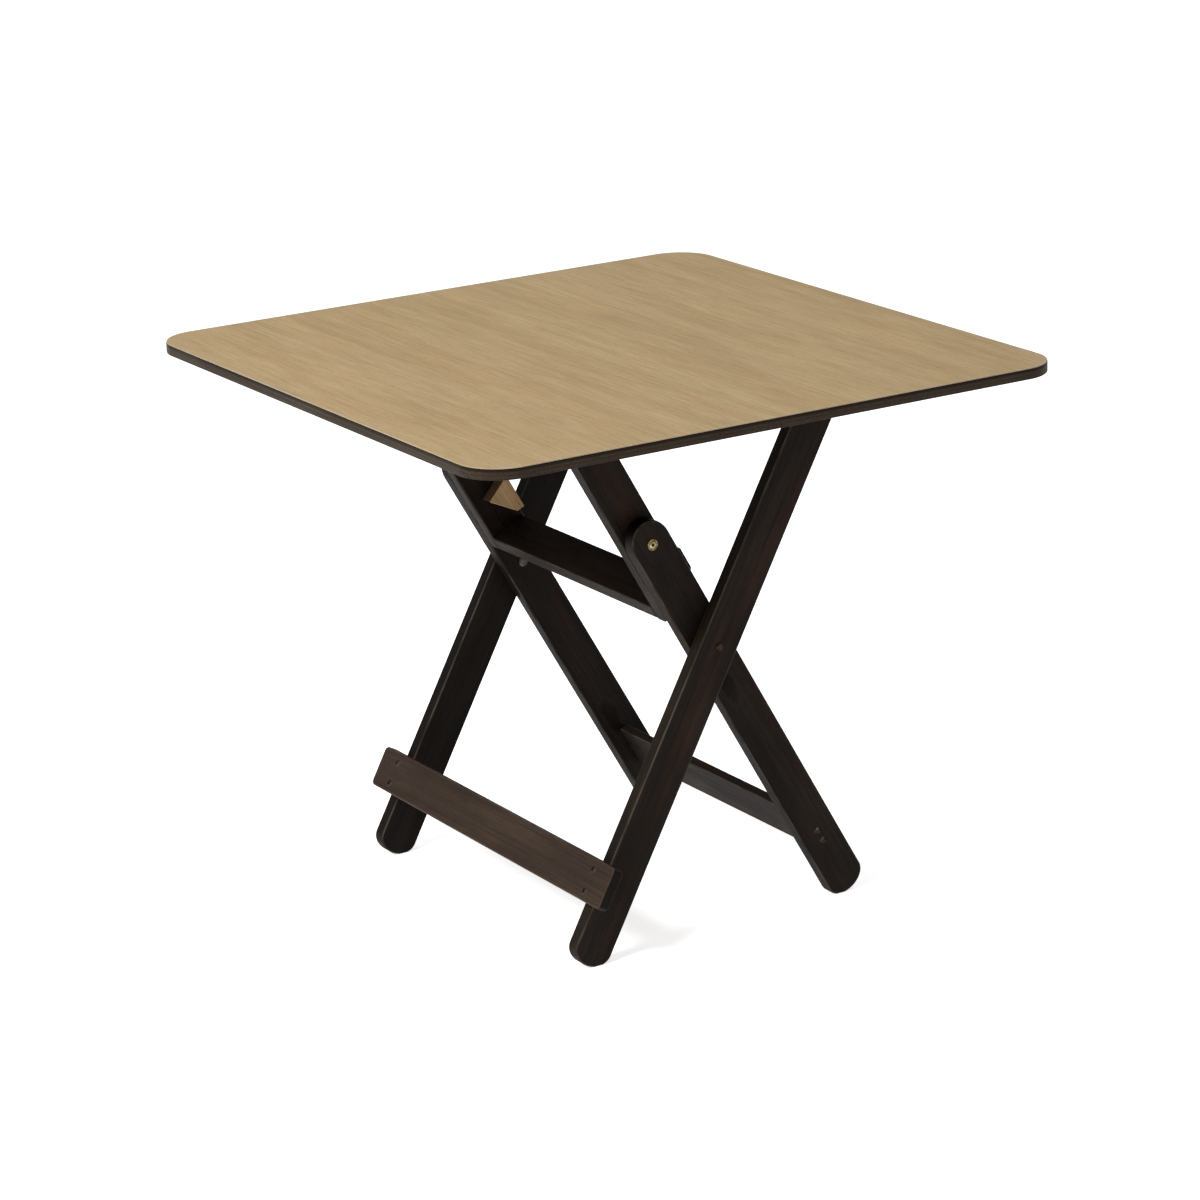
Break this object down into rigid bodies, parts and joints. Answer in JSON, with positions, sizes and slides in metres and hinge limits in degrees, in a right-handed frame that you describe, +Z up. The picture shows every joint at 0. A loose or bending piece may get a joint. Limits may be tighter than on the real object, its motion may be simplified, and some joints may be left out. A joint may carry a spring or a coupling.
{
  "type": "folding tray table",
  "caption": "Low square folding table: a thin round-cornered wood-look top on crossed dark wooden legs with knee-jointed struts that fold flat.",
  "frame": {"origin": "on the floor, under the centre of the top", "axes": "+Z up, -X towards the front, where the low stretcher is nailed to the outer legs, +Y towards the left side"},
  "size_m": [0.6, 0.6, 0.51],
  "materials": {
    "oak_laminate": "satin oak-look laminate with fine straight grain",
    "dark_edge": "dark brown edge, almost black",
    "board_core": "brown board, dull",
    "dark_wood": "dark espresso-stained wood with visible grain",
    "brown_wood": "lighter brown stained wood",
    "bare_wood": "bare unstained wood",
    "steel": "dull zinc-plated steel",
    "brass": "brass-plated rivet",
    "dark_steel": "dark steel"
  },
  "bodies": {
    "outer_legs": {"outer_leg_left": "dark_wood", "outer_leg_right": "dark_wood", "front_stretcher": "brown_wood", "front_nail_left_1": "dark_steel", "front_nail_left_2": "dark_steel", "front_nail_right_1": "dark_steel", "front_nail_right_2": "dark_steel", "cross_bolt_left": "steel", "cross_bolt_right": "steel", "cross_washer_left": "dark_steel", "cross_washer_right": "dark_steel"},
    "tabletop": {"tabletop_board": "board_core", "tabletop_laminate": "oak_laminate", "tabletop_edge_band": "dark_edge", "back_hinge_rail": "dark_wood", "front_hinge_rail": "dark_wood", "back_hinge_rail_screw_1": "steel", "back_hinge_rail_screw_2": "steel", "back_hinge_rail_screw_3": "steel", "front_hinge_rail_screw_1": "steel", "front_hinge_rail_screw_2": "steel", "front_hinge_rail_screw_3": "steel", "back_hinge_bolt_left": "steel", "back_hinge_bolt_right": "steel", "back_hinge_washer_left": "dark_steel", "back_hinge_washer_right": "dark_steel", "front_hinge_screw_left": "steel", "front_hinge_screw_right": "steel", "front_hinge_washer_left": "dark_steel", "front_hinge_washer_right": "dark_steel"},
    "inner_legs": {"inner_leg_left": "dark_wood", "inner_leg_right": "dark_wood", "back_stretcher": "dark_wood", "back_nail_left_1": "dark_steel", "back_nail_left_2": "dark_steel", "back_nail_right_1": "dark_steel", "back_nail_right_2": "dark_steel", "knee_bolt_left": "brass", "knee_bolt_right": "brass"},
    "knee_struts": {"strut_left": "dark_wood", "strut_right": "dark_wood", "crossbar": "dark_wood", "crossbar_nail_left_1": "dark_steel", "crossbar_nail_left_2": "dark_steel", "crossbar_nail_right_1": "dark_steel", "crossbar_nail_right_2": "dark_steel", "stop_cleat_left": "dark_wood", "stop_cleat_right": "dark_wood", "backing_block_left": "bare_wood", "backing_block_right": "bare_wood", "knee_cap_left": "steel", "knee_cap_right": "steel", "knee_washer_left": "dark_steel", "knee_washer_right": "dark_steel"}
  },
  "joints": [
    {"name": "top_fold", "type": "hinge", "parent": "outer_legs", "child": "tabletop", "pos_m": [0.1138, 0, 0.471], "axis": [0, -1, 0], "range_deg": [0, 61.4]},
    {"name": "inner_leg_swing", "type": "hinge", "parent": "outer_legs", "child": "inner_legs", "pos_m": [0.00524, 0, 0.2719], "axis": [0, -1, 0], "range_deg": [-58.2, 0]},
    {"name": "strut_swing", "type": "hinge", "parent": "tabletop", "child": "knee_struts", "pos_m": [-0.10787, 0, 0.471], "axis": [0, -1, 0], "range_deg": [0, 60.4]}
  ],
  "couplings": [
    {"joint": "inner_leg_swing", "follows": "top_fold", "ratio": -0.94788},
    {"joint": "strut_swing", "follows": "top_fold", "ratio": 0.98371}
  ]
}
